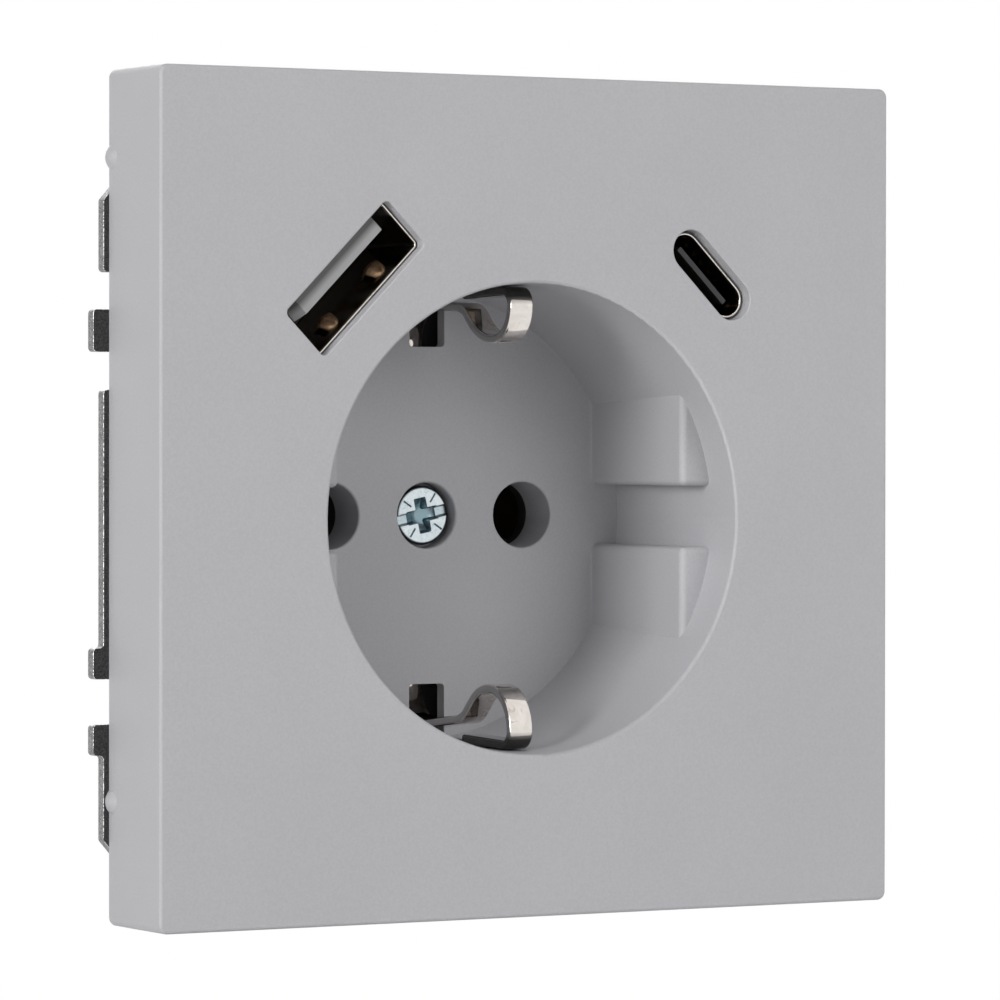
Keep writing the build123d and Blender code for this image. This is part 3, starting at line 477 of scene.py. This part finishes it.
def makeSheet(name, s):
    mat, tree, skin = startMaterial(name)
    grain = useGroup(tree, mouldGrain, Fine=s["mottle"], Broad=s["drift"])
    face = twoTones(tree, grain.outputs["Height"], *s["face"])
    edge = twoTones(tree, grain.outputs["Height"], *s["edge"])
    # the bright dashes on the burred band are a painted glint
    burrGlint = twoTones(tree, grain.outputs["Height"], *s["burrGlint"], s["burrGlintBreaks"])
    tone = mixTones(tree, facingShare(tree, "Y", *s["burrGlintSpan"]), edge, burrGlint)
    tone = mixTones(tree, facingShare(tree, "Y", *s["faceSpan"]), tone, face)
    tree.links.new(tone, skin.inputs["Base Color"])
    glossFrom(tree, grain.outputs["Tone"], skin, s["rough"])
    bumpFrom(tree, grain.outputs["Height"], skin, s["bump"], s["bumpDepth"])
    skin.inputs["Metallic"].default_value = s["metallic"]
    return mat


finishes = {name: makePlastic(name, s, plasticShared) for name, s in plasticSettings.items()}
finishes.update({name: makeMetal(name, s, metalShared) for name, s in metalSettings.items()})
finishes["galvanisedSheet"] = makeSheet("galvanisedSheet", sheetSettings)

finishNodes = {
    "coverGrey": ("front_cover",),
    "zincBlue": ("centre_screw", "screw_nut", "rear_screws"),
    "nickelClip": ("earth_bow",),
    "plainNickel": ("frame_rivets",),
    "portNickel": ("usb_a_shell", "usb_c_shell"),
    "galvanisedSheet": ("support_frame",),
    "baseBlack": ("socket_base", "rear_cover"),
    "springBronze": (
        "contact_left", "contact_right", "earth_terminal",
        "usb_a_contacts", "usb_c_contacts", "board_link_pins",
    ),
    "springBrown": ("usb_a_springs",),
    "rolledSteel": ("live_clamp_spring", "earth_clamp_spring", "neutral_clamp_spring"),
    "leverOrange": ("live_release_lever", "earth_release_lever", "neutral_release_lever"),
    "portGrey": ("usb_a_tongue",),
    "portBlack": ("usb_a_insulator", "control_chip"),
    "tongueDark": ("usb_c_tongue",),
    "boardGreen": ("usb_board", "power_board"),
    "ferriteDark": ("transformer_core",),
    "windingTape": ("transformer_winding",),
    "sleeveBlue": ("input_capacitor", "output_capacitor"),
}
for finish, names in finishNodes.items():
    for obj in (nodes[name] for name in names):
        if not obj.material_slots:
            obj.data.materials.append(finishes[finish])
        for slot in obj.material_slots:
            slot.material = finishes[finish]
print("finishes set:", len(finishes))


# quads of a net of points, row by row, joined round where a side closes on itself
def netQuads(rows, cols, wrapRows=False, wrapCols=False):
    row, col = np.meshgrid(np.arange(rows - (not wrapRows)), np.arange(cols - (not wrapCols)), indexing="ij")
    below, beside = (row + 1) % rows, (col + 1) % cols
    corners = [row * cols + col, below * cols + col, below * cols + beside, row * cols + beside]
    return np.stack(corners, axis=-1).reshape(-1, 4).tolist()


# quads of a tube, closed by one face at each end
def tubeFaces(rows, cols):
    ends = [list(range(cols)), list(range((rows - 1) * cols, rows * cols))]
    return netQuads(rows, cols, wrapCols=True) + ends


# all faces smooth, apart from edges that turn more than the angle
def smoothMesh(mesh, sharp):
    mesh.polygons.foreach_set("use_smooth", np.ones(len(mesh.polygons), dtype=bool))
    mesh.set_sharp_from_angle(angle=radians(sharp))


pieceSettings = {"join": 1e-7, "sharp": 40.0, "stripSharp": 50.0}


def makePiece(name, points, faces, finish, stands, sharp=pieceSettings["sharp"]):
    mesh = bpy.data.meshes.new(name)
    mesh.from_pydata((np.asarray(points).reshape(-1, 3) * mm).tolist(), [], faces)
    net = bmesh.new()
    net.from_mesh(mesh)
    bmesh.ops.remove_doubles(net, verts=net.verts, dist=pieceSettings["join"])
    bmesh.ops.recalc_face_normals(net, faces=net.faces)
    net.to_mesh(mesh)
    net.free()
    smoothMesh(mesh, sharp)
    mesh.materials.append(finishes[finish])
    piece = bpy.data.objects.new(name, mesh)
    scene.collection.objects.link(piece)
    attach(piece, "socket")
    if stands:
        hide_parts(stands)
    return piece


# bent path: straight runs between corners, each corner rounded by an arc that touches both runs
def bentPath(corners, radii, steps):
    corners = np.array(corners, dtype=float)
    runs = corners[1:] - corners[:-1]
    runs /= np.linalg.norm(runs, axis=1, keepdims=True)
    points, tangents = [corners[:1]], [runs[:1]]
    for corner, into, out, radius in zip(corners[1:-1], runs[:-1], runs[1:], radii):
        turn = np.arccos(np.clip(into @ out, -1, 1))
        toCentre = out - into * (into @ out)
        toCentre /= np.linalg.norm(toCentre)
        centre = corner - into * radius * np.tan(turn / 2) + toCentre * radius
        t = np.linspace(0, turn, steps)[:, None]
        points.append(centre + radius * (np.sin(t) * into - np.cos(t) * toCentre))
        tangents.append(np.cos(t) * into + np.sin(t) * toCentre)
    return np.concatenate(points + [corners[-1:]]), np.concatenate(tangents + [runs[-1:]])


# rounded outline: four quarter circles about the inner corners, and at each point the direction out of it
def roundedOutline(length, width, radius, steps):
    angle = (np.arange(4)[:, None] + np.linspace(0, 1, steps)) * pi / 2
    out = np.stack([np.cos(angle), np.sin(angle)], axis=-1)
    corner = np.array([(1, 1), (-1, 1), (-1, -1), (1, -1)]) * (length / 2 - radius, width / 2 - radius)
    return (corner[:, None] + radius * out).reshape(-1, 2), out.reshape(-1, 2)


# carried strip: a section set square to each point of a path, its width along x and its thickness across
# the path, closed at both ends
def carriedStrip(path, along, section):
    across = path[:, :1] - section[None, :, 1] * along[:, 1:]
    height = path[:, 1:] + section[None, :, 1] * along[:, :1]
    x = np.broadcast_to(section[None, :, 0], across.shape)
    return np.stack([x, across, height], axis=-1), tubeFaces(*across.shape)


# a flat pattern of u and v turned about a place in the front plane
def turnedPlace(u, v, place, turn):
    c, n = cos(radians(turn)), sin(radians(turn))
    return place[0] + u * c - v * n, place[1] + u * n + v * c


# earth clips: a strip with rounded edges, bent as the plug's side contact needs it, and the plate that
# joins both
bowSettings = {
    "coverFront": -10.3,
    "axisZ": -1.8,
    "dishRadius": 19.65,
    "draft": 1.5,
    "wallGap": 0.15,
    "stripWidth": 2.25,
    "stripThick": 0.75,
    "edgeRadius": 0.22,
    "frontDepth": 2.8,
    "legLength": 7.8,
    "cornerRadius": 1.15,
    "crestInset": 4.95,
    "crestRun": 5.3,
    "shoulderRun": 2.75,
    "shoulderInset": 2.2,
    "shoulderRadius": 2.6,
    "footRadius": 3.4,
    "bendGap": 0.05,
    "rise": 0.31,
    "bridgeDepth": 21.875,
    "bridgeRadius": 18.383,
    "joinDepth": 9.4,
    "bendSteps": 28,
    "edgeSteps": 7,
    "plateSize": (9.0, 20.0, 2.0),
    "plateHole": 1.5,
    "plateInset": 0.03,
    "plateSteps": 12,
}


def earthClip(name, side, s):
    def wall(depth):
        return s["dishRadius"] - depth * np.tan(radians(s["draft"])) - s["wallGap"] - s["stripThick"] / 2

    crest = s["dishRadius"] - s["crestInset"] + side * s["rise"]
    shoulder = s["dishRadius"] - s["shoulderInset"] + side * s["rise"]
    crestEnd = s["frontDepth"] + s["crestRun"]
    noseRadius = wall(s["frontDepth"]) - crest - s["cornerRadius"] - s["bendGap"]
    slope = np.arctan2(shoulder - crest, s["shoulderRun"])
    crestRadius = (s["crestRun"] - noseRadius - s["bendGap"]) / np.tan(slope / 2)
    legEnd = s["frontDepth"] + s["legLength"]
    corners = [
        (legEnd, wall(legEnd)),
        (s["frontDepth"], wall(s["frontDepth"])),
        (s["frontDepth"], crest),
        (crestEnd, crest),
        (crestEnd + s["shoulderRun"], shoulder),
        (s["bridgeDepth"], s["bridgeRadius"]),
        (s["bridgeDepth"], s["joinDepth"]),
    ]
    radii = [s["cornerRadius"], noseRadius, crestRadius, s["shoulderRadius"], s["footRadius"]]
    path, along = bentPath(corners, radii, s["bendSteps"])
    section, _ = roundedOutline(s["stripWidth"], s["stripThick"], s["edgeRadius"], s["edgeSteps"])
    points, faces = carriedStrip(path, along, section)
    points = points * (1, 1, side) + (0, s["coverFront"], s["axisZ"])
    makePiece(name, points, faces, "nickelClip", "earth_bow", sharp=pieceSettings["stripSharp"])


# bow plate: a flat ring between a rounded outline and the screw's hole, closed round its thickness
def bowPlate(s):
    outline, _ = roundedOutline(*s["plateSize"], s["plateSteps"])
    angle = np.arctan2(outline[:, 1], outline[:, 0])
    hole = s["plateHole"] * np.stack([np.cos(angle), np.sin(angle)], axis=-1)
    middle = s["coverFront"] + s["bridgeDepth"]
    half = s["stripThick"] / 2 - s["plateInset"]
    rings = np.stack([outline, outline, hole, hole])
    sides = np.array([middle - half, middle + half, middle + half, middle - half])
    depth = np.broadcast_to(sides[:, None], rings.shape[:2])
    points = np.stack([rings[..., 0], depth, rings[..., 1] + s["axisZ"]], axis=-1)
    makePiece("bowPlate", points, netQuads(*rings.shape[:2], True, True), "nickelClip", "earth_bow")


earthClip("upperEarthClip", 1, bowSettings)
earthClip("lowerEarthClip", -1, bowSettings)
bowPlate(bowSettings)
print("earth clips made")

# screws: a profile of radius and depth carried once round its axis, with the drive pressed into the head
driveSettings = {
    "wall": 0.2,
    "crossFall": 0.55,
    "coreShare": 0.78,
    "tickDepth": 0.32,
    "edgeSteps": 8,
    "sharp": 60.0,
}
screwSettings = {
    "place": (0.0, -1.8),
    "turn": 12.0,
    "face": 9.2,
    "into": 1,
    "headRadius": 2.55,
    "headThick": 1.3,
    "edge": 0.30,
    "shankRadius": 1.45,
    "shankEnd": 16.0,
    "slot": (0.85, 0.38),
    "cross": (2.9, 1.0, 1.2),
    "tick": (1.35, 2.25, 0.075),
    "steps": (150, 600),
    "finish": "screwZinc",
    "node": "centre_screw",
}
rearSettings = {
    "places": ((0.0, -1.8), (-11.348, 18.348), (11.348, 18.348)),
    "turn": 20.0,
    "face": 32.15,
    "into": -1,
    "headRadius": 2.1,
    "headThick": 1.2,
    "edge": 0.40,
    "shankRadius": 0.95,
    "shankEnd": 22.95,
    "slot": None,
    "cross": (2.5, 0.8, 0.9),
    "tick": None,
    "steps": (50, 180),
    "finish": "zincBlue",
    "node": "rear_screws",
}


# depth of the drive: the deeper of slot, cross and ticks, each falling off over a short sloping wall
def driveDepth(p, q, s, drive):
    def inside(far):
        share = np.clip(0.5 - far / drive["wall"], 0, 1)
        return share * share * (3 - 2 * share)

    r = np.hypot(p, q)
    length, width, deep = s["cross"]
    floor = deep * (1 - drive["crossFall"] * np.clip(r / (length / 2), 0, 1) ** 2)
    armP = inside(np.abs(q) - width / 2) * inside(np.abs(p) - length / 2)
    armQ = inside(np.abs(p) - width / 2) * inside(np.abs(q) - length / 2)
    core = inside(r - width * drive["coreShare"])
    depth = floor * np.maximum(np.maximum(armP, armQ), core)
    if s["slot"]:
        width, deep = s["slot"]
        depth = np.maximum(depth, deep * inside(np.abs(q) - width / 2))
    if s["tick"]:
        near, far, width = s["tick"]
        across = np.minimum(np.abs(p - q), np.abs(p + q)) / 2**0.5
        groove = np.cos(np.clip(across / width, 0, 1) * pi / 2) * ((r > near) & (r < far))
        depth = np.maximum(depth, drive["tickDepth"] * groove)
    return depth


def turnedScrew(name, place, turn, s, drive):
    rings, around = s["steps"]
    flat = s["headRadius"] - s["edge"]
    bend = np.linspace(0, pi / 2, drive["edgeSteps"])[1:]
    edgeR = flat + s["edge"] * np.sin(bend)
    edgeY = s["edge"] * (1 - np.cos(bend))
    end = abs(s["shankEnd"] - s["face"])
    restR = np.array([s["headRadius"], s["shankRadius"], s["shankRadius"], 0.0])
    restY = np.array([s["headThick"], s["headThick"], end, end])
    r = np.concatenate([np.linspace(0, flat, rings), edgeR, restR])[:, None]
    y = np.concatenate([np.zeros(rings), edgeY, restY])[:, None]
    angle = np.linspace(0, 2 * pi, around, endpoint=False)[None, :]
    p, q = r * np.cos(angle), r * np.sin(angle)
    c, n = cos(radians(turn)), sin(radians(turn))
    onTop = (np.arange(len(r)) < rings + len(bend))[:, None]
    pressed = np.maximum(driveDepth(p * c + q * n, q * c - p * n, s, drive) - y, 0)
    y = y + np.where(onTop, pressed, 0)
    points = np.stack([place[0] + p, s["face"] + s["into"] * y, place[1] + q], axis=-1)
    faces = netQuads(*p.shape, wrapCols=True)
    makePiece(name, points, faces, s["finish"], s["node"], sharp=drive["sharp"])


turnedScrew("centreScrew", screwSettings["place"], screwSettings["turn"], screwSettings, driveSettings)
for index, place in enumerate(rearSettings["places"]):
    turnedScrew(f"rearScrew{index}", place, rearSettings["turn"] * (index + 1), rearSettings, driveSettings)
print("screws made")

# pin collars: the wall of each pin hole carried on behind the recess floor, a square section taken once
# round the hole
collarSettings = {
    "places": {"leftPinCollar": (-9.5, -1.8), "rightPinCollar": (9.5, -1.8)},
    "hole": 2.85,
    "outside": 3.05,
    "floorBack": 11.1,
    "end": 12.75,
    "steps": 120,
}


def pinCollar(name, place, s):
    r = np.array([s["hole"], s["outside"], s["outside"], s["hole"]])[:, None]
    y = np.array([s["floorBack"], s["floorBack"], s["end"], s["end"]])[:, None]
    angle = np.linspace(0, 2 * pi, s["steps"], endpoint=False)[None, :]
    x, z = place[0] + r * np.cos(angle), place[1] + r * np.sin(angle)
    points = np.stack([x, np.broadcast_to(y, x.shape), z], axis=-1)
    makePiece(name, points, netQuads(*x.shape, True, True), "coverGrey", None)


for name, place in collarSettings["places"].items():
    pinCollar(name, place, collarSettings)
print("pin collars made")

# port shells: a thin wall with a rounded lip, carried round the port's outline
portSettings = {
    "wall": 0.2,
    "front": -9.25,
    "back": 2.4,
    "outlineSteps": 10,
    "lipSteps": 9,
    "shells": {
        "usbAShell": {
            "place": (-17.123, 17.998), "turn": 45.0, "size": (13.2, 5.05, 0.5), "node": "usb_a_shell",
        },
        "usbCShell": {
            "place": (17.198, 18.723), "turn": -45.0, "size": (8.9, 3.1, 1.549), "node": "usb_c_shell",
        },
    },
}


def portShell(name, port, s):
    outline, out = roundedOutline(*port["size"], s["outlineSteps"])
    half = s["wall"] / 2
    lip = np.linspace(0, pi, s["lipSteps"])
    inward = np.concatenate([[0.0], half - half * np.cos(lip), [s["wall"]]])
    depth = np.concatenate([[s["back"]], s["front"] + half - half * np.sin(lip), [s["back"]]])
    ring = outline[None] - inward[:, None, None] * out[None]
    x, z = turnedPlace(ring[..., 0], ring[..., 1], port["place"], port["turn"])
    points = np.stack([x, np.broadcast_to(depth[:, None], x.shape), z], axis=-1)
    makePiece(name, points, netQuads(*x.shape, True, True), "portNickel", port["node"])


for name, port in portSettings["shells"].items():
    portShell(name, port, portSettings)
print("port shells made")

# port springs: a leaf bent over a crest, rounded at its front end and crowned across, before the port's wall
springSettings = {
    "place": (-17.123, 17.998),
    "turn": 45.0,
    "pitch": 6.2,
    "wall": -2.325,
    "from": -7.85,
    "rise": 1.3,
    "fall": 1.4,
    "dip": 0.85,
    "bend": 0.6,
    "width": 1.7,
    "thick": 0.2,
    "crown": 0.25,
    "noseRun": 1.25,
    "noseShare": 0.30,
    "wallGap": 0.01,
    "leastThick": 0.02,
    "steps": (24, 60, 15),
}


def portSpring(name, side, s):
    bendSteps, rows, half = s["steps"]
    start, crest, end = s["from"], s["from"] + s["rise"], s["from"] + s["rise"] + s["fall"]
    low = s["wall"] + s["thick"] / 2
    path, _ = bentPath([(start, low), (crest, low + s["dip"]), (end, low)], [s["bend"]], bendSteps)
    y = np.interp(np.linspace(0, 1, rows), np.linspace(0, 1, len(path)), path[:, 0])
    w = np.interp(y, path[:, 0], path[:, 1])
    # the width grows from the round front end as an ellipse does, and the leaf falls away from its middle
    share = np.clip((y - start) / (s["rise"] * s["noseRun"]), 0, 1)
    width = s["width"] * (s["noseShare"] + (1 - s["noseShare"]) * np.sqrt(1 - (1 - share) ** 2))
    across = np.concatenate([np.linspace(0.5, -0.5, half), np.linspace(-0.5, 0.5, half)])
    up = np.concatenate([np.full(half, s["thick"] / 2), np.full(half, -s["thick"] / 2)])
    lowest = s["wall"] + s["wallGap"] + s["leastThick"] * (up[None] > 0)
    u = side * s["pitch"] / 2 + width[:, None] * across[None]
    v = np.maximum(w[:, None] + up[None] - s["crown"] * (2 * across[None]) ** 2, lowest)
    x, z = turnedPlace(u, v, s["place"], s["turn"])
    points = np.stack([x, np.broadcast_to(y[:, None], x.shape), z], axis=-1)
    faces, sharp = tubeFaces(*x.shape), pieceSettings["stripSharp"]
    makePiece(name, points, faces, "springBrown", "usb_a_springs", sharp)


portSpring("leftPortSpring", -1, springSettings)
portSpring("rightPortSpring", 1, springSettings)
print("port springs made")

# clamp springs: a strip bent back on itself, with one leg on a shelf and one that a lever presses down on it
clampSettings = {
    "places": {"live": -9.5, "earth": 0.0, "neutral": 9.5},
    "corners": ((18.55, -16.95), (26.25, -16.95), (20.35, -9.15)),
    "bend": 1.2,
    "stripWidth": 6.2,
    "stripThick": 0.5,
    "edgeRadius": 0.12,
    "bendSteps": 20,
    "edgeSteps": 5,
    "shelf": -17.2,
    "keep": 0.6,
}


def clampSpring(who, x, s):
    path, along = bentPath(s["corners"], [s["bend"]], s["bendSteps"])
    section, _ = roundedOutline(s["stripWidth"], s["stripThick"], s["edgeRadius"], s["edgeSteps"])
    points, faces = carriedStrip(path, along, section)
    spring = makePiece(
        f"{who}ClampSpring", points + (x, 0, 0), faces, "rolledSteel", f"{who}_clamp_spring",
        sharp=pieceSettings["stripSharp"],
    )
    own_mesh(spring)


for who, x in clampSettings["places"].items():
    clampSpring(who, x, clampSettings)
print("clamp springs made")

# rounded copies: a CAD node's own mesh, joined up, with its sharp edges broken as tooling leaves them
copyShared = {"join": 1e-6, "flat": 1.0, "sharp": 30.0, "segments": 2, "corner": 35.0}
copySettings = {
    "supportFrame": {
        "node": "support_frame", "body": "socket", "width": 0.16,
        "finish": "galvanisedSheet", "slot": "galvanised",
    },
    "liveLever": {
        "node": "live_release_lever", "body": "live_lever", "width": 0.15,
        "finish": "leverOrange", "slot": "lever_plastic",
    },
    "earthLever": {
        "node": "earth_release_lever", "body": "earth_lever", "width": 0.15,
        "finish": "leverOrange", "slot": "lever_plastic",
    },
    "neutralLever": {
        "node": "neutral_release_lever", "body": "neutral_lever", "width": 0.15,
        "finish": "leverOrange", "slot": "lever_plastic",
    },
}


def roundedCopy(name, s, shared):
    source = nodes[s["node"]]
    mesh = source.data.copy()
    mesh.name = name
    mesh.transform(source.matrix_world)
    net = bmesh.new()
    net.from_mesh(mesh)
    bmesh.ops.remove_doubles(net, verts=net.verts, dist=shared["join"])
    bmesh.ops.dissolve_limit(net, angle_limit=radians(shared["flat"]), verts=net.verts, edges=net.edges)
    bmesh.ops.recalc_face_normals(net, faces=net.faces)
    net.to_mesh(mesh)
    net.free()
    smoothMesh(mesh, shared["sharp"])
    mesh.materials.clear()
    mesh.materials.append(finishes[s["finish"]])
    piece = bpy.data.objects.new(name, mesh)
    scene.collection.objects.link(piece)
    bevel = piece.modifiers.new("brokenEdges", "BEVEL")
    bevel.width = s["width"] * mm
    bevel.segments = shared["segments"]
    bevel.limit_method = "ANGLE"
    bevel.angle_limit = radians(shared["corner"])
    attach(piece, s["body"])
    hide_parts(s["node"])


for name, s in copySettings.items():
    roundedCopy(name, s, copyShared)
print("rounded copies made")

# floor: a wide pale sheet below the socket, which a wall would hold, fading into the white with distance;
# metals see a painted dark reflection on it close by, and white further out
floorSettings = {
    "drop": 60.0,
    "half": 3.0,
    "fade": (0.15, 0.55),
    "white": 0.96,
    "mirrorFade": (0.104, 0.113),
    "pale": (0.78, 0.78, 0.78),
    # the tone that metals see close under the socket, a painted dark reflection
    "mirrored": (0.04, 0.04, 0.04),
}


def makeFloor(s):
    z = cadBox[0][2] - s["drop"] * mm
    h = s["half"]
    mesh = bpy.data.meshes.new("paleFloor")
    mesh.from_pydata([(-h, -h, z), (h, -h, z), (h, h, z), (-h, h, z)], [], [(0, 1, 2, 3)])
    floor = bpy.data.objects.new("paleFloor", mesh)
    scene.collection.objects.link(floor)
    mat = bpy.data.materials.new("paleFloor")
    tree, surface = startTree(mat, "ShaderNodeOutputMaterial")
    path = tree.nodes.new("ShaderNodeLightPath")
    tone = mixTones(tree, path.outputs["Is Glossy Ray"], s["pale"], s["mirrored"])
    lit = nodeIn(tree, "ShaderNodeBsdfDiffuse", Color=tone)
    white = nodeIn(tree, "ShaderNodeEmission", Color=(1, 1, 1, 1), Strength=1.0)
    away = vectorIn(tree, "LENGTH", placeOf(tree))
    fade = mapRange(tree, away, s["fade"], (s["white"], 1.0))
    mirrorFade = mapRange(tree, away, s["mirrorFade"])
    inMetal = mathIn(tree, "MULTIPLY", path.outputs["Is Glossy Ray"], mirrorFade)
    seen = mathIn(tree, "MAXIMUM", path.outputs["Is Camera Ray"], inMetal)
    tree.links.new(mixShaders(tree, mathIn(tree, "MULTIPLY", seen, fade), lit, white), surface)
    mesh.materials.append(mat)


makeFloor(floorSettings)
print("floor set")
